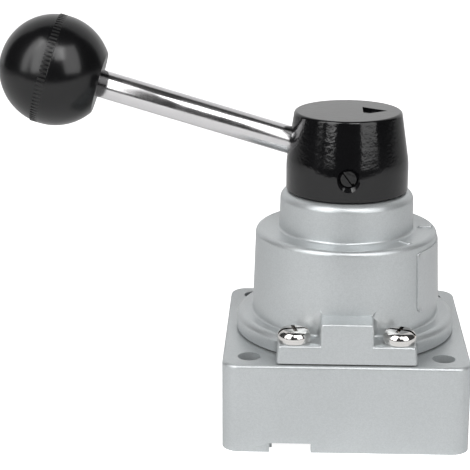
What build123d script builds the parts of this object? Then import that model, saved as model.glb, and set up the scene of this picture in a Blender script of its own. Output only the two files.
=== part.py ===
"""Hand lever air valve: a four-port, three-position rotary disc valve.

Frame: millimetres, +Z up along the spindle, origin at the centre of the base's
underside.  The lever points along -X in its middle position, the side ports
open along +X and -X, and the two cover lugs stand at -Y and +Y.
"""
from build123d import *
import math
import os

# ---------------------------------------------------------------- base casting
base_width = 70.0            # square plan
base_height = 26.0
base_corner_radius = 5.0
base_edge_round = 1.0
mount_pitch = 55.0           # bolt holes, centre to centre
mount_hole_radius = 3.25
port_pitch = 26.0            # the two ports of one side, centre to centre
port_height = 12.5
port_bore_radius = 7.5
port_bore_depth = 11.0
port_mouth_radius = 8.6
port_mouth_depth = 0.8
passage_radius = 4.5
passage_end = 6.0            # how near the axis a passage is drilled
seat_radius = 18.0
seat_height = 2.0            # lapped face above the base's top
seat_hole_radius = 3.0
seat_hole_offset = 9.5       # of each hole from the axis, along X and along Y
core_wall = 3.0              # walls left round the underside's cored pockets
core_width = 43.0
core_breadth = 8.5
core_depth = 11.0
web_core_width = 7.0
web_core_length = 34.0
web_core_depth = 15.0
notch_left = -21.5
notch_width = 11.7
notch_height = 2.7

# --------------------------------------------------------------- upper cover
gasket_thickness = 0.5
flange_radius = 32.0
flange_thickness = 5.2
flange_round = 2.0
barrel_foot_radius = 27.3
barrel_top_radius = 26.4
barrel_height = 25.1         # flange top to shoulder
barrel_round = 1.6
neck_foot_radius = 19.6
neck_top_radius = 19.3
neck_height = 11.2
neck_round = 2.4
root_fillet = 0.8
chamber_radius = 21.6
chamber_roof = 4.3
lug_width = 39.6
lug_setback = 0.7            # of the lug's face from the base's face
block_width = 15.8
block_height = 6.5           # above the lug's top
lug_draft = 0.5
lug_edge_round = 0.8
screw_x = 14.8
screw_edge = 5.0             # screw's line to the lug's face
screw_clear_radius = 2.75
screw_head_gap = 0.3         # round the head, where it is cut into the barrel's foot
stop_boss_radius = 4.0
stop_boss_drop = 10.5
index_mark_length = 4.2
index_mark_width = 1.3
index_mark_height = 0.35
index_mark_gap = 1.4         # from the neck's foot

# ------------------------------------------------------------ detent and disc
travel = 45.0                # lever swing each side of the middle, degrees
running_gap = 0.1
disc_radius = 18.0
disc_thickness = 4.0
kidney_depth = 2.4
disc_slot_depth = 2.0        # notch for a drive pin
skirt_gap = 0.4
skirt_wall = 2.4
skirt_lift = 0.4             # skirt's rim above the base's top
rotor_plate = 4.0
spring_room = 6.0            # disc's back to the bottom of the spring recess
rotor_hub_radius = 9.0
thrust_washer_thickness = 2.4
detent_ball_radius = 3.0
detent_depth = 0.9
detent_pocket_gap = 0.15
detent_wall = 1.7            # metal in front of the detent spring
stop_pin_radius = 2.0
stop_pin_circle = 16.0
stop_slot_depth = 3.0
stop_pin_floor_gap = 0.4
stop_pin_seat = 2.0          # pin's top, below the barrel's roof line
drive_pin_radius = 1.5
drive_pin_circle = 16.2
drive_pin_azimuth = 90.0
drive_pin_seat = 1.2         # length held in the rotor's plate
disc_spring_radius = 10.5
disc_spring_wire = 0.9
disc_spring_turns = 2.4
spring_recess_gap = 1.6      # round the spring, in the rotor
detent_spring_radius = 2.1
detent_spring_wire = 0.4
detent_spring_turns = 3.5

# --------------------------------------------------- spindle and its bearings
spindle_radius = 6.0
spindle_square = 8.4
spindle_square_length = 8.0
spindle_top_gap = 0.5
bushing_wall = 2.0
bushing_length = 7.4
seal_section = 1.8
seal_groove_radius = 4.4
seal_spacing = 3.2
bearing_gap = 0.03

# -------------------------------------------------------------- handle group
hub_lift = 0.5               # hub's foot above the neck
hub_foot_radius = 17.7
hub_band_height = 8.2
hub_top_radius = 15.5
hub_height = 22.9
hub_top_round = 0.7
hub_socket_depth = 15.5
hub_relief_radius = 15.0
hub_relief_depth = 1.6
hub_boss_radius = 10.5
arrow_length = 7.0
arrow_width = 10.0
arrow_depth = 0.8
arrow_tip_inset = 4.3        # tip to the hub's top edge
lever_angle = 16.5           # above the horizontal
lever_root_rise = 9.1        # lever's line over the axis, above the hub's foot
lever_reach = 88.0           # axis to ball centre, along the lever
rod_radius = 4.0
rod_seat = 3.6               # full rod sunk below the spot face
rod_tip_radius = 3.0
rod_tip_start = 7.7          # inner end, from the axis
rod_tip_outer = 12.0         # thread length in the ball
spot_face_radius = 7.0
spot_face_reach = 16.1       # spot face's distance from the axis
ball_radius = 16.0
ball_flat_radius = 9.0
ball_rod_recess = 1.0
insert_radius = 6.0
insert_length = 15.0
band_width = 2.8
band_plain = 0.6
tooth_count = 80
tooth_depth = 0.42
grub_radius = 2.5
grub_height = 6.6            # above the hub's foot
grub_length = 10.6
grub_flat = 5.3              # spindle flat's distance from the axis
grub_slot_width = 0.9
grub_slot_depth = 1.3
grub_slot_angle = 54.0
grub_mouth_radius = 3.6

# ------------------------------------------------------------- screws, plate
screw_head_radius = 4.7
screw_head_height = 3.6
screw_shank_radius = 2.5
screw_core_radius = 2.05
screw_hole_radius = 2.1
screw_grip = 10.0            # thread length in the base
screw_slot_width = 1.1
screw_slot_depth = 1.5
screw_cross_length = 5.4
plate_thickness = 0.35
plate_gap = 0.02
plate_height = 17.8
plate_foot = 36.3            # its lower edge above the base's underside
plate_span = 84.0            # degrees round the barrel
plate_corner = 1.6

# ------------------------------------------------- heights that follow from these
flange_foot = base_height + gasket_thickness
flange_top = flange_foot + flange_thickness
shoulder = flange_top + barrel_height
neck_top = shoulder + neck_height
hub_foot = neck_top + hub_lift
hub_top = hub_foot + hub_height
ceiling = shoulder - chamber_roof
seat_top = base_height + seat_height
disc_top = seat_top + disc_thickness
skirt_inner = disc_radius + skirt_gap
skirt_outer = skirt_inner + skirt_wall
plate_under = disc_top + 3.0
plate_top = plate_under + rotor_plate
rotor_top = ceiling - thrust_washer_thickness - running_gap
square_foot = disc_top + spring_room
square_top = square_foot + spindle_square_length
lever_root = hub_foot + lever_root_rise
ball_flat = lever_reach - math.sqrt(ball_radius**2 - ball_flat_radius**2)
detent_height = base_height + detent_ball_radius + running_gap
detent_circle = skirt_outer + detent_ball_radius + running_gap
lug_face = base_width / 2 - lug_setback
screw_y = lug_face - screw_edge
pocket_end = lug_face - detent_wall
pocket_half = detent_ball_radius + detent_pocket_gap

lever_plane = Plane(
    origin=(0, 0, lever_root),
    x_dir=(0, 1, 0),
    z_dir=(-math.cos(math.radians(lever_angle)), 0, math.sin(math.radians(lever_angle))),
)


# -------------------------------------------------------------------- helpers
def rounded_face(corners):
    """Closed face from (x, y, radius) corners, each rounded by its radius."""
    points = [Vector(x, y) for x, y, _ in corners]
    count = len(points)
    starts, ends, edges = [], [], []
    for i, (_, _, radius) in enumerate(corners):
        here = points[i]
        before = (points[i - 1] - here).normalized()
        after = (points[(i + 1) % count] - here).normalized()
        half = math.radians(before.get_angle(after)) / 2
        reach = radius / math.tan(half)
        starts.append(here + before * reach)
        ends.append(here + after * reach)
        if radius:
            middle = (before + after).normalized()
            far = radius / math.sin(half) - radius
            edges.append(ThreePointArc(starts[i], here + middle * far, ends[i]))
    for i in range(count):
        edges.append(Line(ends[i], starts[(i + 1) % count]))
    return make_face(edges)


def turned(corners, plane=Plane.XZ, axis=Axis.Z):
    """Body of revolution from an outline of (radius, height, rounding)."""
    return revolve(plane * rounded_face(corners), axis=axis)


def drill(radius, foot, top, x=0.0, y=0.0):
    """Upright round bar, for holes and pins."""
    return Pos(x, y, foot) * extrude(Circle(radius), top - foot)


def along_lever(corners):
    """Body of revolution about the lever's line; heights run outwards along it."""
    about_z = turned(corners)
    return lever_plane.location * about_z


def four(shape_at, x, y):
    """shape_at(x, y) in all four quadrants."""
    return [shape_at(sx * x, sy * y) for sx in (-1, 1) for sy in (-1, 1)]


def joined(shapes):
    """One shape from several."""
    total = shapes[0]
    for shape in shapes[1:]:
        total = total + shape
    return total


def slab(width, breadth, foot, top, x=0.0, y=0.0, corner=0.0):
    """Upright block on the plan centre (x, y), with rounded upright edges."""
    plan = RectangleRounded(width, breadth, corner) if corner else Rectangle(width, breadth)
    return Pos(x, y, foot) * extrude(plan, top - foot)


def coil(radius, wire, turns, length):
    """Open coil spring round +Z, from height 0 to its length."""
    rise = length - 2 * wire
    path = Helix(pitch=rise / turns, height=rise, radius=radius)
    section = Plane(origin=path @ 0, z_dir=path % 0) * Circle(wire)
    return Pos(0, 0, wire) * sweep(section, path=path)


# ------------------------------------------------------------------ fixed parts
def base_body():
    """Square casting: side ports, drilled passages, lapped seat, cored underside."""
    half = base_width / 2
    body = slab(base_width, base_width, 0, base_height, corner=base_corner_radius)
    body = fillet(body.faces().sort_by(Axis.Z)[-1].edges(), base_edge_round)
    body += drill(seat_radius, base_height - 1, seat_top)
    body -= joined(four(lambda x, y: drill(mount_hole_radius, -1, base_height + 1, x, y),
                        mount_pitch / 2, mount_pitch / 2))
    body -= joined(four(lambda x, y: drill(screw_hole_radius, base_height - screw_grip - 2,
                                           base_height + 1, x, y), screw_x, screw_y))
    body -= joined(four(lambda x, y: drill(seat_hole_radius, port_height, seat_top + 1, x, y),
                        seat_hole_offset, seat_hole_offset))
    for side in (-1, 1):
        for row in (-1, 1):
            mouth = Plane(origin=(side * half, row * port_pitch / 2, port_height),
                          z_dir=(-side, 0, 0))
            port = extrude(Circle(port_bore_radius), port_bore_depth)
            port += extrude(Circle(passage_radius), half - passage_end)
            port += Cone(port_mouth_radius, port_bore_radius, port_mouth_depth,
                         align=(Align.CENTER, Align.CENTER, Align.MIN))
            body -= mouth.location * port
    for row in (-1, 1):
        body -= slab(core_width, core_breadth, -1, core_depth, corner=2,
                     y=row * (half - core_wall - core_breadth / 2))
    body -= slab(web_core_width, web_core_length, -1, web_core_depth, corner=2)
    body -= Pos(notch_left + notch_width / 2, -half, 0) * Box(
        notch_width, 2 * core_wall + 1, 2 * notch_height)
    return body


def cover_footprint(inset=0.0):
    """Plan of the cover where it meets the base: round flange and two lugs."""
    plan = Circle(flange_radius - inset)
    plan += RectangleRounded(lug_width - 2 * inset, 2 * (lug_face - inset), 1.2)
    return plan


def detent_pocket():
    """Both spring pockets, open below, in one long slot across the chamber."""
    return slab(2 * pocket_half, 2 * pocket_end, base_height - 1,
                detent_height + pocket_half)


def drafted(width, face, foot, top):
    """Block across the cover from lug face to lug face, drawn in towards its top."""
    low = Pos(0, 0, foot) * RectangleRounded(width, 2 * face, 1.0)
    high = Pos(0, 0, top) * RectangleRounded(width - lug_draft * 2, 2 * (face - 0.2), 1.0)
    block = loft([low, high])
    return fillet(block.faces().sort_by(Axis.Z)[-1].edges(), lug_edge_round)


def index_mark(azimuth):
    """Raised bar on the shoulder that the arrow points at."""
    start = neck_foot_radius + index_mark_gap
    bar = Pos(start + index_mark_length / 2, 0, shoulder - 0.2) * extrude(
        SlotOverall(index_mark_length, index_mark_width), 0.2 + index_mark_height)
    return Rot(0, 0, azimuth) * bar


def upper_cover():
    """Stepped bonnet: flange, tapered barrel, neck, screw lugs and detent blocks."""
    shell = turned([
        (0, flange_foot, 0), (flange_radius, flange_foot, 0),
        (flange_radius, flange_top, flange_round), (barrel_foot_radius, flange_top, root_fillet),
        (barrel_top_radius, shoulder, barrel_round), (neck_foot_radius, shoulder, root_fillet),
        (neck_top_radius, neck_top, neck_round), (0, neck_top, 0)])
    shell += drafted(lug_width, lug_face, flange_foot, flange_top)
    shell += drafted(block_width, lug_face, flange_foot, flange_top + block_height)
    for azimuth in (-travel, 0, travel):
        shell += index_mark(azimuth)
    shell -= drill(chamber_radius, flange_foot - 1, ceiling)
    shell += drill(stop_boss_radius, ceiling - stop_boss_drop, ceiling + 1, stop_pin_circle)
    shell -= drill(stop_pin_radius, ceiling - stop_boss_drop - 1, ceiling - stop_pin_seat,
                   stop_pin_circle)
    shell -= detent_pocket()
    bushing_radius = spindle_radius + bearing_gap + bushing_wall
    shell -= drill(bushing_radius, ceiling - 1, ceiling + bushing_length)
    shell -= drill(seal_groove_radius + seal_section, ceiling, neck_top + 1)
    shell -= joined(four(lambda x, y: drill(screw_clear_radius, flange_foot - 1,
                                            flange_top + 1, x, y), screw_x, screw_y))
    shell -= joined(four(lambda x, y: drill(screw_head_radius + screw_head_gap, flange_top,
                                            flange_top + 2 * screw_head_height, x, y),
                         screw_x, screw_y))
    return shell


def cover_gasket():
    """Flat gasket with the cover's outline, open at the chamber and the pockets."""
    sheet = Pos(0, 0, base_height) * extrude(cover_footprint(inset=0.6), gasket_thickness)
    sheet -= drill(chamber_radius, base_height - 1, flange_foot + 1)
    sheet -= detent_pocket()
    sheet -= joined(four(lambda x, y: drill(screw_clear_radius, base_height - 1,
                                            flange_foot + 1, x, y), screw_x, screw_y))
    return sheet


def cover_screw(x, y, turn):
    """Pan head screw with a slot and a cross in its crown."""
    tip = base_height - screw_grip
    crown = screw_head_height
    profile = [
        (0, tip, 0), (screw_core_radius, tip, 0.5), (screw_core_radius, base_height, 0),
        (screw_shank_radius, base_height, 0), (screw_shank_radius, flange_top, 0),
        (screw_head_radius, flange_top, 0.25),
        (screw_head_radius, flange_top + 0.55 * crown, 1.3),
        (screw_head_radius * 0.55, flange_top + crown, 1.6), (0, flange_top + crown, 0)]
    screw = turned(profile)
    floor = flange_top + crown - screw_slot_depth
    screw -= slab(2 * screw_head_radius + 1, screw_slot_width, floor, floor + 2 * crown)
    screw -= slab(screw_slot_width, screw_cross_length, floor - 0.4, floor + 2 * crown)
    return Pos(x, y, 0) * Rot(0, 0, turn) * screw


def cover_screws():
    """The four screws, each stopped at its own angle."""
    turns = iter((12, 75, -20, 48))
    return four(lambda x, y: cover_screw(x, y, next(turns)), screw_x, screw_y)


def shaft_bushing():
    """Bronze sleeve in the neck."""
    bore = spindle_radius + bearing_gap
    return drill(bore + bushing_wall, ceiling, ceiling + bushing_length) - drill(
        bore, ceiling - 1, ceiling + bushing_length + 1)


def thrust_washer():
    """Plain washer between the rotor and the cover's roof."""
    foot = rotor_top + running_gap
    return drill(rotor_hub_radius, foot, ceiling) - drill(
        spindle_radius + 0.2, foot - 1, ceiling + 1)


def stop_pin():
    """Pin in the roof's boss; the rotor's curved slot stops against it."""
    foot = plate_top - stop_slot_depth + stop_pin_floor_gap
    pin = drill(stop_pin_radius, foot, ceiling - stop_pin_seat, stop_pin_circle)
    return chamfer(pin.edges().sort_by(Axis.Z)[0], 0.2 * stop_pin_radius)


def detent_ball(side):
    """Steel ball of one detent, resting on the crest of the rotor's rim."""
    return Pos(0, side * detent_circle, detent_height) * Sphere(detent_ball_radius)


def detent_spring(side):
    """Coil spring behind one ball, its closed end against the pocket's end."""
    inner = detent_circle + detent_ball_radius + running_gap
    spring = coil(detent_spring_radius, detent_spring_wire, detent_spring_turns,
                  pocket_end - inner - running_gap)
    return Pos(0, side * inner, detent_height) * Rot(-90 * side, 0, 0) * spring


def name_plate():
    """Blank curved plate on the barrel's +X side."""
    taper = (barrel_foot_radius - barrel_top_radius) / barrel_height
    def barrel_at(height):
        return barrel_foot_radius - taper * (height - flange_top)
    foot, top = plate_foot, plate_foot + plate_height
    inner = plate_gap
    outer = plate_gap + plate_thickness
    wall = Plane.XZ * rounded_face([
        (barrel_at(foot) + inner, foot, 0), (barrel_at(foot) + outer, foot, 0),
        (barrel_at(top) + outer, top, 0), (barrel_at(top) + inner, top, 0)])
    plate = revolve(wall, axis=Axis.Z, revolution_arc=plate_span)
    plate = Rot(0, 0, -plate_span / 2) * plate
    reach = barrel_foot_radius * math.sin(math.radians(plate_span / 2))
    window = Plane.YZ * Pos(0, (foot + top) / 2) * RectangleRounded(
        2 * reach, plate_height, plate_corner)
    return plate & extrude(window, 2 * barrel_foot_radius)


# ----------------------------------------------------------------- turning parts
def valve_disc():
    """Flat slide with two kidney grooves that join neighbouring seat holes."""
    disc = drill(disc_radius, seat_top, disc_top)
    circle = math.hypot(seat_hole_offset, seat_hole_offset)
    for middle in (45, 225):
        groove = joined([
            Rot(0, 0, middle + step) * drill(seat_hole_radius, seat_top - 1,
                                             seat_top + kidney_depth, circle)
            for step in (-travel, travel)])
        arc = drill(circle + seat_hole_radius, seat_top - 1, seat_top + kidney_depth)
        arc -= drill(circle - seat_hole_radius, seat_top - 2, seat_top + kidney_depth + 1)
        wedge = Plane.XY.offset(seat_top - 2) * make_face(Polyline(
            (0, 0), *[(2 * circle * math.cos(math.radians(middle + a)),
                       2 * circle * math.sin(math.radians(middle + a)))
                      for a in (-travel, 0, travel)], close=True))
        groove += arc & extrude(wedge, kidney_depth + 4)
        disc -= groove
    for turn in (drive_pin_azimuth, drive_pin_azimuth + 180):
        slot = slab(2 * (disc_radius - drive_pin_circle + drive_pin_radius + running_gap),
                    2 * (drive_pin_radius + running_gap),
                    disc_top - disc_slot_depth, disc_top + 1, x=disc_radius)
        disc -= Rot(0, 0, turn) * slot
    return disc


def drive_pins():
    """Two pins in the rotor that carry the disc round."""
    foot = disc_top - disc_slot_depth + running_gap
    pin = drill(drive_pin_radius, foot, plate_under + drive_pin_seat, drive_pin_circle)
    return [Rot(0, 0, drive_pin_azimuth + turn) * pin for turn in (0, 180)]


def disc_spring():
    """Coil spring that presses the disc on its seat."""
    free = square_foot - disc_top - 2 * running_gap
    return Pos(0, 0, disc_top + running_gap) * coil(disc_spring_radius, disc_spring_wire,
                                                    disc_spring_turns, free)


def detent_rotor():
    """Driver on the spindle: skirt with detent notches, stop slot, square socket."""
    rotor = drill(skirt_outer, base_height + skirt_lift, plate_top)
    rotor -= drill(skirt_inner, base_height, plate_under)
    rotor += drill(rotor_hub_radius, plate_under, rotor_top)
    recess_half = disc_spring_wire + spring_recess_gap
    recess = drill(disc_spring_radius + recess_half, plate_under - 1, square_foot)
    recess -= drill(disc_spring_radius - recess_half, plate_under - 2, square_foot + 1)
    rotor -= recess
    rotor -= slab(spindle_square + running_gap, spindle_square + running_gap,
                  plate_under - 1, square_top + 1)
    rotor -= drill(spindle_radius + running_gap, square_top - running_gap, rotor_top + 1)
    notch_circle = skirt_outer + detent_ball_radius + running_gap - detent_depth
    for side in (-90, 90):
        for step in (-travel, 0, travel):
            notch = drill(detent_ball_radius + running_gap, base_height, plate_under,
                          notch_circle)
            rotor -= Rot(0, 0, side + step) * notch
    slot_width = 2 * (stop_pin_radius + running_gap)
    slot = CenterArc((0, 0), stop_pin_circle, -travel, 2 * travel)
    track = SlotArc(slot, slot_width)
    rotor -= Pos(0, 0, plate_top - stop_slot_depth) * extrude(track, stop_slot_depth + 1)
    for pin in drive_pins():
        rotor -= pin
    return rotor


def spindle():
    """Shaft: square foot, seal grooves, flat for the grub screw."""
    top = hub_foot + hub_socket_depth - spindle_top_gap
    shaft = turned([(0, square_top, 0), (spindle_radius, square_top, 0),
                    (spindle_radius, top, 0.8), (0, top, 0)])
    shaft += slab(spindle_square, spindle_square, square_foot, square_top + 0.5)
    for height in seal_heights():
        ring = drill(spindle_radius + 1, height - seal_section / 2 - 0.1,
                     height + seal_section / 2 + 0.1)
        ring -= drill(seal_groove_radius, height - seal_section, height + seal_section)
        shaft -= ring
    flat_height = 2 * (grub_radius + 0.8)
    shaft -= Pos(0, -grub_flat - spindle_radius, hub_foot + grub_height) * Box(
        4 * spindle_radius, 2 * spindle_radius, flat_height)
    return shaft


def seal_heights():
    """Heights of the two seal rings above the bushing."""
    first = ceiling + bushing_length + seal_section
    return (first, first + seal_spacing)


def shaft_seal_rings():
    """Two rubber rings in the spindle's grooves."""
    return [Pos(0, 0, height) * Torus(seal_groove_radius + seal_section / 2,
                                      seal_section / 2 - 0.02)
            for height in seal_heights()]


def arrow():
    """Triangular pocket in the hub's top, opposite the lever."""
    tip = hub_top_radius - arrow_tip_inset
    outline = make_face(Polyline((tip, 0), (tip - arrow_length, arrow_width / 2),
                                 (tip - arrow_length, -arrow_width / 2), close=True))
    return Pos(0, 0, hub_top - arrow_depth) * extrude(outline, arrow_depth + 1)


def handle_hub():
    """Tapered knob on the spindle: banded foot, spot face for the lever, arrow."""
    hub = turned([
        (0, hub_foot, 0), (hub_foot_radius, hub_foot, 0.3),
        (hub_foot_radius, hub_foot + hub_band_height, 1.5),
        (hub_top_radius, hub_top, hub_top_round), (0, hub_top, 0)])
    hub -= drill(spindle_radius + bearing_gap, hub_foot - 1, hub_foot + hub_socket_depth)
    hub -= drill(hub_relief_radius, hub_foot - 1, hub_foot + hub_relief_depth) - drill(
        hub_boss_radius, hub_foot - 2, hub_foot + hub_relief_depth + 1)
    hub -= along_lever([(0, spot_face_reach, 0), (spot_face_radius, spot_face_reach, 0),
                        (spot_face_radius, 2 * spot_face_reach, 0),
                        (0, 2 * spot_face_reach, 0)])
    sunk = spot_face_reach - rod_seat
    hub -= along_lever([(0, 0, 0), (rod_tip_radius + running_gap, 0, 0),
                        (rod_tip_radius + running_gap, sunk, 0),
                        (rod_radius + running_gap, sunk, 0),
                        (rod_radius + running_gap, spot_face_reach + 1, 0),
                        (0, spot_face_reach + 1, 0)])
    side = Plane(origin=(0, 0, hub_foot + grub_height), x_dir=(1, 0, 0), z_dir=(0, -1, 0))
    mouth = hub_foot_radius - (grub_mouth_radius - grub_radius)
    bore = turned([(0, 0, 0), (grub_radius + bearing_gap, 0, 0),
                   (grub_radius + bearing_gap, mouth, 0),
                   (grub_mouth_radius + 1, mouth + grub_mouth_radius - grub_radius + 1, 0),
                   (0, mouth + grub_mouth_radius - grub_radius + 1, 0)])
    hub -= side.location * bore
    hub -= arrow()
    return hub


def hub_set_screw():
    """Slotted grub screw that clamps the hub on the spindle's flat."""
    foot = grub_flat + bearing_gap
    screw = turned([(0, foot, 0), (grub_radius, foot, 0.5),
                    (grub_radius, foot + grub_length, 0.3), (0, foot + grub_length, 0)])
    slot = slab(4 * grub_radius, grub_slot_width, foot + grub_length - grub_slot_depth,
                foot + grub_length + 1)
    screw -= Rot(0, 0, -grub_slot_angle) * slot
    side = Plane(origin=(0, 0, hub_foot + grub_height), x_dir=(1, 0, 0), z_dir=(0, -1, 0))
    return side.location * screw


def lever_rod():
    """Plated rod with a thread at each end."""
    inner = spot_face_reach - rod_seat + running_gap
    outer = ball_flat + ball_rod_recess - running_gap
    return along_lever([
        (0, rod_tip_start, 0), (rod_tip_radius, rod_tip_start, 0.5),
        (rod_tip_radius, inner, 0), (rod_radius, inner, 0.3), (rod_radius, outer, 0.3),
        (rod_tip_radius, outer, 0), (rod_tip_radius, outer + rod_tip_outer, 0.5),
        (0, outer + rod_tip_outer, 0)])


def toothed_ring():
    """Serrated band, from the ball's equator outwards."""
    inner = ball_radius - tooth_depth
    step = 2 * math.pi / tooth_count
    points = []
    for tooth in range(tooth_count):
        for share, radius in ((0.0, inner), (0.2, ball_radius), (0.6, ball_radius), (0.8, inner)):
            angle = (tooth + share) * step
            points.append((radius * math.cos(angle), radius * math.sin(angle)))
    outline = make_face(Polyline(*points, close=True))
    teeth = Pos(0, 0, band_plain) * extrude(outline, band_width - band_plain)
    return teeth + extrude(Circle(ball_radius), band_plain)


def ball_knob():
    """Moulded ball: serrated band at its equator, flat and bore for the rod."""
    ball = Sphere(ball_radius) + toothed_ring()
    ball = Pos(0, 0, lever_reach) * ball
    ball -= drill(2 * ball_radius, 0, ball_flat)
    ball -= drill(rod_radius + running_gap, 0, ball_flat + ball_rod_recess)
    ball -= drill(insert_radius, ball_flat + ball_rod_recess - 0.01,
                  ball_flat + ball_rod_recess + insert_length)
    return lever_plane.location * ball


def ball_insert():
    """Brass thread insert moulded into the ball."""
    foot = ball_flat + ball_rod_recess
    insert = drill(insert_radius, foot, foot + insert_length)
    insert -= drill(rod_tip_radius + bearing_gap, foot - 1, foot + rod_tip_outer + 1)
    return lever_plane.location * insert


parts = {
    "base_body": base_body(),
    "upper_cover": upper_cover(),
    "cover_gasket": cover_gasket(),
    "cover_screws": cover_screws(),
    "shaft_bushing": shaft_bushing(),
    "thrust_washer": thrust_washer(),
    "stop_pin": stop_pin(),
    "front_detent_ball": detent_ball(-1),
    "rear_detent_ball": detent_ball(1),
    "front_detent_spring": detent_spring(-1),
    "rear_detent_spring": detent_spring(1),
    "name_plate": name_plate(),
    "valve_disc": valve_disc(),
    "drive_pins": drive_pins(),
    "disc_spring": disc_spring(),
    "detent_rotor": detent_rotor(),
    "spindle": spindle(),
    "shaft_seal_rings": shaft_seal_rings(),
    "handle_hub": handle_hub(),
    "hub_set_screw": hub_set_screw(),
    "lever_rod": lever_rod(),
    "ball_knob": ball_knob(),
    "ball_insert": ball_insert(),
}

os.makedirs("parts", exist_ok=True)
for name, shape in parts.items():
    solids = [solid for one in (shape if isinstance(shape, list) else [shape])
              for solid in one.solids()]
    export_step(solids[0] if len(solids) == 1 else Compound(children=solids),
                f"parts/{name}.step")
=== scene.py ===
import math

import bpy
from mathutils import Matrix, Vector


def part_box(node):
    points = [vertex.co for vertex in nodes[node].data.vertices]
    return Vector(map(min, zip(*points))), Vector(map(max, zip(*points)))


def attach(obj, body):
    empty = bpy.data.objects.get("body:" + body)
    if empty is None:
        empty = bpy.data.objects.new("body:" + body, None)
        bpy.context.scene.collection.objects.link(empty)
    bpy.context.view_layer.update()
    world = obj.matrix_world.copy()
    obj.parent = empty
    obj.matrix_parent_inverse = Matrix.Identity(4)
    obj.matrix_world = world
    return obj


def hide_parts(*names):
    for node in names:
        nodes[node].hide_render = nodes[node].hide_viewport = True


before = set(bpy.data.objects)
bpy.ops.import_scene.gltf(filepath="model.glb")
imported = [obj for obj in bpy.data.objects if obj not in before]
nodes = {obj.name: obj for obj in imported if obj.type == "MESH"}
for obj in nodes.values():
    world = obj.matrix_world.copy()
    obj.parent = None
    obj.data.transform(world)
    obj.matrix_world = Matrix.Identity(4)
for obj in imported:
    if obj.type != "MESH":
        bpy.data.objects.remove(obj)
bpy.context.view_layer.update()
mm = 0.001
print("frame loaded:", len(nodes), "nodes")


# what the pieces share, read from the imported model
def low(node):
    return Vector(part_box(node)[0])


def high(node):
    return Vector(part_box(node)[1])


baseTop = low("cover_gasket").z
hubFoot = low("handle_hub").z
hubTop = high("handle_hub").z
hubRadius = high("handle_hub").x
leverAngle = math.radians(16.5)
leverRoot = Vector((0, 0, hubFoot + 9.1 * mm))
leverReach = 88.0 * mm
rodRadius = 4.0 * mm

# z runs outwards along the lever
leverFrame = Matrix.Translation(leverRoot) @ Matrix((
    (0, math.sin(leverAngle), -math.cos(leverAngle)),
    (1, 0, 0),
    (0, math.cos(leverAngle), math.sin(leverAngle)))).to_4x4()


# small modelling helpers
def objectMode():
    if bpy.context.object and bpy.context.object.mode != "OBJECT":
        bpy.ops.object.mode_set(mode="OBJECT")


def deselect():
    objectMode()
    bpy.ops.object.select_all(action="DESELECT")


def activate(*pieces):
    deselect()
    for piece in pieces:
        piece.select_set(True)
    bpy.context.view_layer.objects.active = pieces[0]


def editFaces(piece, wanted):
    # leaves edit mode on, with only the wanted faces selected
    activate(piece)
    bpy.ops.object.mode_set(mode="EDIT")
    bpy.ops.mesh.select_mode(type="FACE")
    bpy.ops.mesh.select_all(action="DESELECT")
    bpy.ops.object.mode_set(mode="OBJECT")
    for face in piece.data.polygons:
        face.select = wanted(face)
    bpy.ops.object.mode_set(mode="EDIT")


def editEdges(piece, wanted):
    # wanted gets the edge's two points
    activate(piece)
    bpy.ops.object.mode_set(mode="EDIT")
    bpy.ops.mesh.select_mode(type="EDGE")
    bpy.ops.mesh.select_all(action="DESELECT")
    bpy.ops.object.mode_set(mode="OBJECT")
    points = piece.data.vertices
    for edge in piece.data.edges:
        edge.select = wanted(points[edge.vertices[0]].co, points[edge.vertices[1]].co)
    bpy.ops.object.mode_set(mode="EDIT")


def tube(name, radius, foot, top, sides=128, x=0.0, y=0.0):
    deselect()
    bpy.ops.mesh.primitive_cylinder_add(
        vertices=sides, radius=radius, depth=top - foot, location=(x, y, (foot + top) / 2))
    piece = bpy.context.object
    piece.name = name
    bpy.ops.object.transform_apply(location=True, rotation=True, scale=True)
    return piece


def block(name, lowCorner, highCorner):
    deselect()
    middle = (Vector(lowCorner) + Vector(highCorner)) / 2
    bpy.ops.mesh.primitive_cube_add(size=1, location=middle)
    piece = bpy.context.object
    piece.name = name
    piece.scale = Vector(highCorner) - Vector(lowCorner)
    bpy.ops.object.transform_apply(location=True, rotation=True, scale=True)
    return piece


def cut(piece, *tools):
    for tool in tools:
        activate(piece)
        knife = piece.modifiers.new("cut", "BOOLEAN")
        knife.operation = "DIFFERENCE"
        knife.solver = "EXACT"
        knife.object = tool
        bpy.ops.object.modifier_apply(modifier=knife.name)
        bpy.data.objects.remove(tool)


def softenEdges(piece, width, segments=3, angle=30):
    activate(piece)
    bevel = piece.modifiers.new("soft edges", "BEVEL")
    bevel.width = width
    bevel.segments = segments
    bevel.limit_method = "ANGLE"
    bevel.angle_limit = math.radians(angle)
    bevel.harden_normals = False
    bpy.ops.object.modifier_apply(modifier=bevel.name)


def finishSurface(piece, angle=35):
    # smooth shading that stays even across the large faces
    activate(piece)
    bpy.ops.object.mode_set(mode="EDIT")
    bpy.ops.mesh.select_all(action="SELECT")
    bpy.ops.mesh.remove_doubles(threshold=0.002 * mm)
    bpy.ops.object.mode_set(mode="OBJECT")
    bpy.ops.object.shade_smooth_by_angle(angle=math.radians(angle))
    even = piece.modifiers.new("even shading", "WEIGHTED_NORMAL")
    even.keep_sharp = True
    even.weight = 60
    bpy.ops.object.modifier_apply(modifier=even.name)


def place(piece, matrix):
    activate(piece)
    piece.matrix_world = matrix
    bpy.ops.object.transform_apply(location=True, rotation=True, scale=True)


def castCopy(node, name, angle=32):
    # the casting's own mesh, joined up and smoothly shaded
    deselect()
    piece = nodes[node].copy()
    piece.data = nodes[node].data.copy()
    piece.name = name
    piece.parent = None
    bpy.context.collection.objects.link(piece)
    piece.matrix_world = Matrix.Identity(4)
    finishSurface(piece, angle)
    return piece


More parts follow.
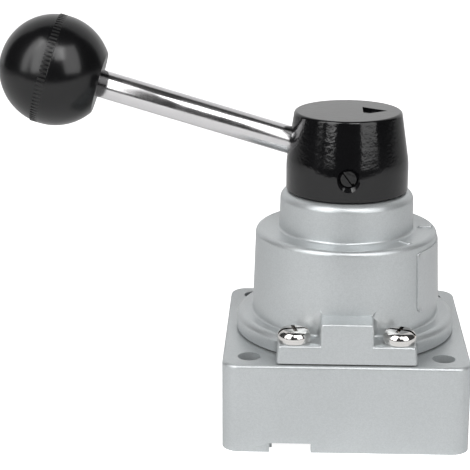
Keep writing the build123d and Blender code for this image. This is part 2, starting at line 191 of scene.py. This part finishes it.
def dress(piece, body, node, material):
    if material:
        piece.data.materials.clear()
        piece.data.materials.append(material)
    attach(piece, body)
    if node:
        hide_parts(node)


# shader groups
def newSocket(group, name, kind, direction, value=None):
    socket = group.interface.new_socket(name=name, in_out=direction, socket_type=kind)
    if value is not None:
        socket.default_value = value
    return socket


def makeGrainGroup():
    # fine grain: a value for colour, a value for roughness and a height
    group = bpy.data.node_groups.new("castingGrain", "ShaderNodeTree")
    newSocket(group, "Grain Size", "NodeSocketFloat", "INPUT", 1400.0)
    newSocket(group, "Blotch Size", "NodeSocketFloat", "INPUT", 60.0)
    newSocket(group, "Flake", "NodeSocketFloat", "OUTPUT")
    newSocket(group, "Blotch", "NodeSocketFloat", "OUTPUT")
    newSocket(group, "Height", "NodeSocketFloat", "OUTPUT")
    start = group.nodes.new("NodeGroupInput")
    end = group.nodes.new("NodeGroupOutput")
    coordinates = group.nodes.new("ShaderNodeTexCoord")
    fine = group.nodes.new("ShaderNodeTexNoise")
    fine.inputs["Detail"].default_value = 2.0
    fine.inputs["Roughness"].default_value = 0.6
    flakes = group.nodes.new("ShaderNodeTexVoronoi")
    flakes.feature = "F1"
    blotch = group.nodes.new("ShaderNodeTexNoise")
    blotch.inputs["Detail"].default_value = 3.0
    link = group.links.new
    for texture in (fine, flakes, blotch):
        link(coordinates.outputs["Object"], texture.inputs["Vector"])
    link(start.outputs["Grain Size"], fine.inputs["Scale"])
    link(start.outputs["Grain Size"], flakes.inputs["Scale"])
    link(start.outputs["Blotch Size"], blotch.inputs["Scale"])
    bright = group.nodes.new("ShaderNodeSeparateColor")
    link(flakes.outputs["Color"], bright.inputs["Color"])
    link(bright.outputs["Red"], end.inputs["Flake"])
    link(blotch.outputs["Fac"], end.inputs["Blotch"])
    link(fine.outputs["Fac"], end.inputs["Height"])
    return group


grainGroup = makeGrainGroup()


def newMaterial(name):
    material = bpy.data.materials.new(name)
    material.use_nodes = True
    tree = material.node_tree
    tree.nodes.clear()
    shader = tree.nodes.new("ShaderNodeBsdfPrincipled")
    output = tree.nodes.new("ShaderNodeOutputMaterial")
    tree.links.new(shader.outputs["BSDF"], output.inputs["Surface"])
    return material, tree, shader


def mixColors(tree, factor, first, second):
    mix = tree.nodes.new("ShaderNodeMix")
    mix.data_type = "RGBA"
    mix.inputs["A"].default_value = (*first, 1)
    mix.inputs["B"].default_value = (*second, 1)
    tree.links.new(factor, mix.inputs["Factor"])
    return mix.outputs["Result"]


def spreadValue(tree, source, outLow, outHigh, inLow=0.0, inHigh=1.0):
    spread = tree.nodes.new("ShaderNodeMapRange")
    spread.inputs["From Min"].default_value = inLow
    spread.inputs["From Max"].default_value = inHigh
    spread.inputs["To Min"].default_value = outLow
    spread.inputs["To Max"].default_value = outHigh
    tree.links.new(source, spread.inputs["Value"])
    return spread.outputs["Result"]


def bump(tree, shader, height, strength, distance):
    node = tree.nodes.new("ShaderNodeBump")
    node.inputs["Strength"].default_value = strength
    node.inputs["Distance"].default_value = distance
    tree.links.new(height, node.inputs["Height"])
    tree.links.new(node.outputs["Normal"], shader.inputs["Normal"])


def grained(name, dark, bright, metallic, rough, grain, blotch, bumpHeight, coat=0.0):
    # painted or bare metal: speckle, slow blotches, grain relief
    material, tree, shader = newMaterial(name)
    shader.inputs["Metallic"].default_value = metallic
    shader.inputs["Coat Weight"].default_value = coat
    shader.inputs["Coat Roughness"].default_value = 0.25
    group = tree.nodes.new("ShaderNodeGroup")
    group.node_tree = grainGroup
    group.inputs["Grain Size"].default_value = grain
    group.inputs["Blotch Size"].default_value = blotch
    blend = tree.nodes.new("ShaderNodeMath")
    blend.operation = "MULTIPLY_ADD"
    blend.inputs[1].default_value = 0.6
    tree.links.new(group.outputs["Flake"], blend.inputs[0])
    half = spreadValue(tree, group.outputs["Blotch"], 0.0, 0.4, 0.3, 0.7)
    tree.links.new(half, blend.inputs[2])
    tree.links.new(mixColors(tree, blend.outputs["Value"], dark, bright),
                   shader.inputs["Base Color"])
    tree.links.new(spreadValue(tree, group.outputs["Blotch"], *rough, 0.3, 0.7),
                   shader.inputs["Roughness"])
    bump(tree, shader, group.outputs["Height"], 0.5, bumpHeight)
    return material


silverPaint = grained("silverPaint", (0.515, 0.54, 0.548), (0.60, 0.625, 0.635), 0.62, (0.33, 0.41),
                      3200, 45, 0.008 * mm)
machinedSteel = grained("machinedSteel", (0.42, 0.42, 0.43), (0.55, 0.55, 0.56), 1.0, (0.3, 0.4),
                        1500, 90, 0.01 * mm)
springWire = grained("springWire", (0.35, 0.35, 0.36), (0.45, 0.45, 0.46), 1.0, (0.3, 0.42),
                     1500, 90, 0.01 * mm)
turnedBrass = grained("turnedBrass", (0.62, 0.45, 0.18), (0.72, 0.55, 0.25), 1.0, (0.25, 0.35),
                      1200, 70, 0.01 * mm)
oilBronze = grained("oilBronze", (0.42, 0.26, 0.12), (0.56, 0.37, 0.18), 0.9, (0.35, 0.5),
                    2600, 80, 0.02 * mm)
gasketSheet = grained("gasketSheet", (0.025, 0.025, 0.025), (0.06, 0.06, 0.055), 0.0, (0.7, 0.85),
                      1800, 60, 0.03 * mm)
sealRubber = grained("sealRubber", (0.012, 0.012, 0.012), (0.03, 0.03, 0.03), 0.0, (0.5, 0.6),
                     900, 60, 0.01 * mm)
discPolymer = grained("discPolymer", (0.66, 0.63, 0.55), (0.74, 0.71, 0.63), 0.0, (0.35, 0.45),
                      700, 50, 0.01 * mm)
plateFoil = grained("plateFoil", (0.535, 0.555, 0.565), (0.60, 0.62, 0.63), 0.5, (0.30, 0.36),
                    2600, 60, 0.008 * mm)


def makeBrightPlate(name, color, rough, smudge):
    # polished plating with faint smudges
    material, tree, shader = newMaterial(name)
    shader.inputs["Metallic"].default_value = 1.0
    group = tree.nodes.new("ShaderNodeGroup")
    group.node_tree = grainGroup
    group.inputs["Grain Size"].default_value = 700
    group.inputs["Blotch Size"].default_value = 130
    dull = tuple(c * 0.93 for c in color)
    tree.links.new(mixColors(tree, group.outputs["Blotch"], color, dull),
                   shader.inputs["Base Color"])
    tree.links.new(spreadValue(tree, group.outputs["Blotch"], rough, rough + smudge, 0.35, 0.7),
                   shader.inputs["Roughness"])
    bump(tree, shader, group.outputs["Height"], 0.25, 0.004 * mm)
    return material


chromeRod = makeBrightPlate("chromeRod", (0.78, 0.77, 0.78), 0.15, 0.10)
brightNickel = makeBrightPlate("brightNickel", (0.82, 0.80, 0.78), 0.08, 0.10)


def makeBlackGloss(name, color, rough, wave, waveSize, waveHeight):
    # glossy black with the slight unevenness of a thick coat
    material, tree, shader = newMaterial(name)
    shader.inputs["IOR"].default_value = 1.5
    group = tree.nodes.new("ShaderNodeGroup")
    group.node_tree = grainGroup
    group.inputs["Grain Size"].default_value = waveSize
    group.inputs["Blotch Size"].default_value = 90
    lighter = tuple(c * 1.6 for c in color)
    tree.links.new(mixColors(tree, group.outputs["Blotch"], color, lighter),
                   shader.inputs["Base Color"])
    tree.links.new(spreadValue(tree, group.outputs["Blotch"], rough, rough + wave, 0.3, 0.7),
                   shader.inputs["Roughness"])
    bump(tree, shader, group.outputs["Height"], 0.35, waveHeight)
    return material


blackEnamel = makeBlackGloss("blackEnamel", (0.003, 0.003, 0.0034), 0.07, 0.08, 800, 0.10 * mm)
blackResin = makeBlackGloss("blackResin", (0.003, 0.003, 0.0034), 0.18, 0.06, 900, 0.02 * mm)
serratedResin = makeBlackGloss("serratedResin", (0.010, 0.010, 0.010), 0.32, 0.08, 1500, 0.02 * mm)
print("materials ready")


# ball knob
ball = dict(radius=16.0 * mm, flatRadius=9.0 * mm, bandWidth=2.8 * mm, bandPlain=0.6 * mm,
            teeth=80, toothDepth=0.42 * mm, recess=1.0 * mm, rimRound=0.35 * mm)


def ballFlatHeight():
    return leverReach - math.sqrt(ball["radius"] ** 2 - ball["flatRadius"] ** 2)


def makeBallKnob():
    flat = ballFlatHeight()
    deselect()
    bpy.ops.mesh.primitive_uv_sphere_add(
        segments=128, ring_count=96, radius=ball["radius"] - 0.02 * mm, location=(0, 0, leverReach))
    knob = bpy.context.object
    knob.name = "ballKnob"
    bpy.ops.object.transform_apply(location=True, rotation=True, scale=True)
    bpy.ops.object.mode_set(mode="EDIT")
    bpy.ops.mesh.select_all(action="SELECT")
    bpy.ops.mesh.bisect(plane_co=(0, 0, flat), plane_no=(0, 0, 1), use_fill=True, clear_inner=True)
    editFaces(knob, lambda face: face.center.z < flat + 0.01 * mm)
    bpy.ops.mesh.inset(thickness=ball["flatRadius"] - rodRadius - 0.15 * mm, depth=0)
    bpy.ops.mesh.extrude_region_move(TRANSFORM_OT_translate={"value": (0, 0, ball["recess"])})

    def onRim(point):
        return abs(point.z - flat) < 0.01 * mm and point.xy.length > ball["flatRadius"] - 0.3 * mm

    editEdges(knob, lambda a, b: onRim(a) and onRim(b))
    bpy.ops.mesh.bevel(offset=ball["rimRound"], segments=4, affect="EDGES")
    objectMode()
    finishSurface(knob, 28)

    # serrated band, as a ring of its own before it is joined on
    sides = ball["teeth"] * 4
    step = 2 * math.pi / sides
    foot = leverReach + ball["bandPlain"]
    top = leverReach + ball["bandWidth"]
    band = tube("serratedBand", ball["radius"] - ball["toothDepth"], foot, top, sides)

    def onTooth(face):
        if abs(face.normal.z) > 0.5:
            return False
        angle = math.atan2(face.center.y, face.center.x) % (2 * math.pi)
        return int(angle / step) % 4 in (0, 1)

    editFaces(band, onTooth)
    bpy.ops.mesh.extrude_region_shrink_fatten(
        TRANSFORM_OT_shrink_fatten={"value": ball["toothDepth"] - 0.02 * mm})
    objectMode()
    plain = tube("plainBand", ball["radius"] - 0.02 * mm, leverReach, foot + 0.01 * mm, sides // 2)
    softenEdges(plain, 0.06 * mm, 2, 60)
    finishSurface(band, 20)
    finishSurface(plain, 30)
    for part, finish in ((knob, blackResin), (band, serratedResin), (plain, blackResin)):
        part.data.materials.append(finish)
    activate(knob, band, plain)
    bpy.ops.object.join()
    place(knob, leverFrame)
    dress(knob, "lever", "ball_knob", None)


# lever rod
rod = dict(inner=12.6 * mm, intoBall=0.9 * mm, endRadius=3.0 * mm, innerEnd=7.8 * mm,
           outerEnd=12.0 * mm, rodRound=0.3 * mm, endRound=0.4 * mm)


def makeRod():
    inner = rod["inner"]
    outer = ballFlatHeight() + rod["intoBall"]
    bar = tube("leverRod", rodRadius, inner, outer, 96)
    threads = [tube("innerEnd", rod["endRadius"], rod["innerEnd"], inner, 48),
               tube("outerEnd", rod["endRadius"], outer, outer + rod["outerEnd"], 48)]
    softenEdges(bar, rod["rodRound"], 3)
    for thread in threads:
        softenEdges(thread, rod["endRound"], 2)
    activate(bar, *threads)
    bpy.ops.object.join()
    finishSurface(bar)
    place(bar, leverFrame)
    dress(bar, "lever", "lever_rod", chromeRod)


# hub
hub = dict(bandHeight=8.2 * mm, topRadius=15.5 * mm, topRound=0.7 * mm, waistRound=1.6 * mm,
           boreRadius=6.03 * mm, boreDepth=15.5 * mm, spotRadius=7.0 * mm, spotReach=16.1 * mm,
           arrowTip=11.2 * mm, arrowLength=7.0 * mm, arrowWidth=10.0 * mm, arrowDepth=0.8 * mm,
           grubHeight=6.6 * mm, grubHole=2.53 * mm, grubMouth=3.6 * mm)


def makeHub():
    waist = hubFoot + hub["bandHeight"]
    piece = tube("handleHub", hubRadius, hubFoot, waist, 192)
    editFaces(piece, lambda face: face.normal.z > 0.9)
    bpy.ops.mesh.extrude_region_move(TRANSFORM_OT_translate={"value": (0, 0, hubTop - waist)})
    ratio = hub["topRadius"] / hubRadius
    bpy.ops.transform.resize(value=(ratio, ratio, 1), center_override=(0, 0, hubTop))
    objectMode()
    for height, width, steps in ((hubTop, hub["topRound"], 5), (waist, hub["waistRound"], 6),
                                 (hubFoot, 0.35 * mm, 3)):
        editEdges(piece, lambda a, b: max(abs(a.z - height), abs(b.z - height)) < 0.01 * mm)
        bpy.ops.mesh.bevel(offset=width, segments=steps, affect="EDGES")
        objectMode()
    bore = tube("bore", hub["boreRadius"], hubFoot - mm, hubFoot + hub["boreDepth"], 64)
    spot = tube("spot", hub["spotRadius"], hub["spotReach"], hub["spotReach"] + 12 * mm, 96)
    seat = tube("seat", rodRadius + 0.1 * mm, 12.5 * mm, hub["spotReach"] + mm, 96)
    tip = tube("tip", 3.1 * mm, 2 * mm, 13 * mm, 48)
    for tool in (spot, seat, tip):
        place(tool, leverFrame)
    side = Matrix.Translation((0, 0, hubFoot + hub["grubHeight"])) @ Matrix.Rotation(
        math.radians(90), 4, "X")
    grub = tube("grub", hub["grubHole"], 0, hubRadius + mm, 64)
    place(grub, side)
    deselect()
    flare = hub["grubMouth"] - hub["grubHole"]
    bpy.ops.mesh.primitive_cone_add(
        vertices=96, radius1=hub["grubHole"], radius2=hub["grubMouth"] + mm, depth=flare + mm,
        location=(0, 0, hubRadius - flare + (flare + mm) / 2))
    mouth = bpy.context.object
    bpy.ops.object.transform_apply(location=True, rotation=True, scale=True)
    place(mouth, side)
    deselect()
    bpy.ops.mesh.primitive_cone_add(
        vertices=3, radius1=1, radius2=1, depth=2 * hub["arrowDepth"],
        location=(0, 0, 0), rotation=(0, 0, -math.pi / 2))
    arrow = bpy.context.object
    bpy.ops.object.transform_apply(location=False, rotation=True, scale=False)
    arrow.scale = (hub["arrowLength"] / 1.5, hub["arrowWidth"] / math.sqrt(3), 1)
    arrow.location = (hub["arrowTip"] - hub["arrowLength"] * 2 / 3, 0, hubTop)
    bpy.ops.object.transform_apply(location=True, rotation=True, scale=True)
    cut(piece, bore, spot, seat, tip, grub, mouth, arrow)
    finishSurface(piece, 30)
    dress(piece, "lever", "handle_hub", blackEnamel)


# grub screw in the hub
grubScrew = dict(radius=2.5 * mm, foot=5.33 * mm, length=10.6 * mm, slotWidth=0.9 * mm,
                 slotDepth=1.3 * mm, slotAngle=54.0)


def makeGrubScrew():
    top = grubScrew["foot"] + grubScrew["length"]
    screw = tube("hubSetScrew", grubScrew["radius"], grubScrew["foot"], top, 64)
    softenEdges(screw, 0.3 * mm, 3)
    slot = block("slot", (-3 * mm, -grubScrew["slotWidth"] / 2, top - grubScrew["slotDepth"]),
                 (3 * mm, grubScrew["slotWidth"] / 2, top + mm))
    place(slot, Matrix.Rotation(-math.radians(grubScrew["slotAngle"]), 4, "Z"))
    cut(screw, slot)
    finishSurface(screw)
    side = Matrix.Translation((0, 0, hubFoot + hub["grubHeight"])) @ Matrix.Rotation(
        math.radians(90), 4, "X")
    place(screw, side)
    dress(screw, "lever", "hub_set_screw", blackEnamel)


# cover screws
coverScrew = dict(headRadius=4.7 * mm, headHeight=3.6 * mm, shank=2.5 * mm, slotWidth=1.1 * mm,
                  slotDepth=1.5 * mm, crossLength=5.4 * mm, turns=(12, 75, -20, 48))


def makeCoverScrews():
    foot = low("cover_screws").z
    crown = high("cover_screws").z
    seat = crown - coverScrew["headHeight"]
    spread = high("cover_screws") - Vector((coverScrew["headRadius"],) * 3)
    rise = coverScrew["headHeight"] / 2
    head = tube("coverScrews", coverScrew["headRadius"], seat, seat + rise, 96)
    for share, scale in ((0.45, 0.93), (0.35, 0.86), (0.2, 0.72)):
        editFaces(head, lambda face: face.normal.z > 0.9)
        bpy.ops.mesh.extrude_region_move(TRANSFORM_OT_translate={"value": (0, 0, rise * share)})
        bpy.ops.transform.resize(value=(scale, scale, 1), center_override=(0, 0, 0))
        objectMode()
    softenEdges(head, 0.35 * mm, 3, 8)
    floor = crown - coverScrew["slotDepth"]
    half = coverScrew["slotWidth"] / 2
    slot = block("slot", (-6 * mm, -half, floor), (6 * mm, half, crown + mm))
    cross = block("cross", (-half, -coverScrew["crossLength"] / 2, floor - 0.4 * mm),
                  (half, coverScrew["crossLength"] / 2, crown + mm))
    cut(head, slot, cross)
    shank = tube("shank", coverScrew["shank"], baseTop, seat, 48)
    thread = tube("thread", 2.05 * mm, foot, baseTop, 48)
    activate(head, shank, thread)
    bpy.ops.object.join()
    finishSurface(head, 30)
    copies = [head]
    for _ in range(3):
        twin = head.copy()
        twin.data = head.data.copy()
        bpy.context.collection.objects.link(twin)
        copies.append(twin)
    corners = [(sx * spread.x, sy * spread.y) for sx in (-1, 1) for sy in (-1, 1)]
    for screw, corner, turn in zip(copies, corners, coverScrew["turns"]):
        place(screw, Matrix.Translation((*corner, 0)) @ Matrix.Rotation(math.radians(turn), 4, "Z"))
    activate(*copies)
    bpy.ops.object.join()
    dress(head, "housing", "cover_screws", brightNickel)


# castings
def makeCastings():
    base = castCopy("base_body", "baseCasting", 14)
    dress(base, "housing", "base_body", silverPaint)
    cover = castCopy("upper_cover", "coverCasting", 24)
    dress(cover, "housing", "upper_cover", silverPaint)
    plate = castCopy("name_plate", "blankPlate", 18)
    dress(plate, "housing", "name_plate", plateFoil)


makeCastings()
print("castings ready")
makeHub()
makeGrubScrew()
print("hub ready")
makeRod()
makeBallKnob()
print("lever ready")
makeCoverScrews()
print("screws ready")

# finishes of the parts that stay as they are
finishes = {
    "cover_gasket": gasketSheet, "shaft_bushing": oilBronze, "thrust_washer": oilBronze,
    "stop_pin": machinedSteel,
    "front_detent_ball": machinedSteel, "rear_detent_ball": machinedSteel,
    "front_detent_spring": springWire, "rear_detent_spring": springWire, "valve_disc": discPolymer,
    "drive_pins": machinedSteel, "disc_spring": springWire, "detent_rotor": machinedSteel,
    "spindle": machinedSteel, "shaft_seal_rings": sealRubber, "ball_insert": turnedBrass,
}
for node, material in finishes.items():
    nodes[node].data.materials.clear()
    nodes[node].data.materials.append(material)
print("inner parts finished")


# studio
studio = dict(floorColor=(0.76, 0.76, 0.76), floorWidth=4.0, floorFront=-0.36, backdropAt=1.2,
              backdropHeight=3.0, worldLevel=0.05, leftBox=5.0, leftSideBox=2.8, rightBox=4.8,
              upperBox=2.3, seenGlow=0.95, floorMirror=0.16, backdropMirror=0.52)


def whiteSurface(name, mirrorGlow):
    # diffuse white that also glows a little for the rays that see it
    material, tree, shader = newMaterial(name)
    shader.inputs["Base Color"].default_value = (*studio["floorColor"], 1)
    shader.inputs["Roughness"].default_value = 0.9
    shader.inputs["Specular IOR Level"].default_value = 0.0
    path = tree.nodes.new("ShaderNodeLightPath")
    mirrored = tree.nodes.new("ShaderNodeMath")
    mirrored.operation = "MAXIMUM"
    tree.links.new(path.outputs["Is Glossy Ray"], mirrored.inputs[0])
    tree.links.new(path.outputs["Is Transmission Ray"], mirrored.inputs[1])
    dimmed = tree.nodes.new("ShaderNodeMath")
    dimmed.operation = "MULTIPLY"
    dimmed.inputs[1].default_value = mirrorGlow
    tree.links.new(mirrored.outputs["Value"], dimmed.inputs[0])
    level = tree.nodes.new("ShaderNodeMath")
    level.operation = "MULTIPLY_ADD"
    level.inputs[1].default_value = studio["seenGlow"]
    tree.links.new(path.outputs["Is Camera Ray"], level.inputs[0])
    tree.links.new(dimmed.outputs["Value"], level.inputs[2])
    tree.links.new(level.outputs["Value"], shader.inputs["Emission Strength"])
    shader.inputs["Emission Color"].default_value = (1, 1, 1, 1)
    return material


def makeStudio():
    deselect()
    depth = studio["backdropAt"] - studio["floorFront"]
    bpy.ops.mesh.primitive_plane_add(
        size=1, location=(0, studio["floorFront"] + depth / 2, -0.05 * mm))
    floor = bpy.context.object
    floor.name = "studioFloor"
    floor.scale = (studio["floorWidth"], depth, 1)
    bpy.ops.object.transform_apply(location=True, rotation=True, scale=True)
    floor.data.materials.append(whiteSurface("floorWhite", studio["floorMirror"]))
    deselect()
    bpy.ops.mesh.primitive_plane_add(
        size=1, rotation=(math.radians(90), 0, 0),
        location=(0, studio["backdropAt"], studio["backdropHeight"] / 2))
    backdrop = bpy.context.object
    backdrop.name = "studioBackdrop"
    backdrop.scale = (studio["floorWidth"], studio["backdropHeight"], 1)
    bpy.ops.object.transform_apply(location=True, rotation=True, scale=True)
    backdrop.data.materials.append(whiteSurface("backdropWhite", studio["backdropMirror"]))

    world = bpy.data.worlds.new("studioWorld")
    bpy.context.scene.world = world
    world.use_nodes = True
    tree = world.node_tree
    tree.nodes.clear()
    path = tree.nodes.new("ShaderNodeLightPath")
    dim = tree.nodes.new("ShaderNodeBackground")
    dim.inputs["Strength"].default_value = studio["worldLevel"]
    white = tree.nodes.new("ShaderNodeBackground")
    white.inputs["Strength"].default_value = 1.0
    mix = tree.nodes.new("ShaderNodeMixShader")
    output = tree.nodes.new("ShaderNodeOutputWorld")
    for background in (dim, white):
        background.inputs["Color"].default_value = (1, 1, 1, 1)
    tree.links.new(path.outputs["Is Camera Ray"], mix.inputs["Fac"])
    tree.links.new(dim.outputs["Background"], mix.inputs[1])
    tree.links.new(white.outputs["Background"], mix.inputs[2])
    tree.links.new(mix.outputs["Shader"], output.inputs["Surface"])


def softbox(name, azimuth, elevation, distance, width, height, power, showsInGloss=True):
    # azimuth 0 is straight in front of the base, positive to the right
    aim = Vector((0, 0, 60 * mm))
    a, e = math.radians(azimuth), math.radians(elevation)
    away = Vector((math.sin(a) * math.cos(e), -math.cos(a) * math.cos(e), math.sin(e)))
    deselect()
    bpy.ops.object.light_add(type="AREA", location=aim + away * distance)
    lamp = bpy.context.object
    lamp.name = name
    lamp.data.shape = "RECTANGLE"
    lamp.data.size = width
    lamp.data.size_y = height
    lamp.data.energy = power
    lamp.rotation_euler = (-away).to_track_quat("-Z", "Y").to_euler()
    lamp.visible_glossy = showsInGloss
    return lamp


view = dict(eye=(-13.4 * mm, -467.5 * mm, 191.9 * mm), aim=(-32.61 * mm, 0, 53.66 * mm),
            lens=126.8, roll=0.0)


def makeCamera():
    deselect()
    bpy.ops.object.camera_add(location=view["eye"])
    camera = bpy.context.object
    camera.name = "camera"
    away = Vector(view["aim"]) - Vector(view["eye"])
    turn = away.to_track_quat("-Z", "Y").to_matrix().to_4x4()
    roll = Matrix.Rotation(math.radians(view["roll"]), 4, "Z")
    camera.matrix_world = Matrix.Translation(view["eye"]) @ turn @ roll
    camera.data.lens = view["lens"]
    camera.data.sensor_width = 36.0
    camera.data.clip_start = 0.01
    bpy.context.scene.camera = camera


makeStudio()
softbox("leftWindow", -36, 36, 1.0, 0.38, 1.20, studio["leftBox"])
softbox("leftSideWindow", -60, 36, 1.0, 0.26, 1.20, studio["leftSideBox"])
softbox("rightWindow", 42, 31, 1.0, 0.66, 1.05, studio["rightBox"])
softbox("upperWindow", 14, 47, 1.0, 0.34, 0.50, studio["upperBox"])
makeCamera()
bpy.context.scene.view_settings.view_transform = "Standard"
print("studio ready")
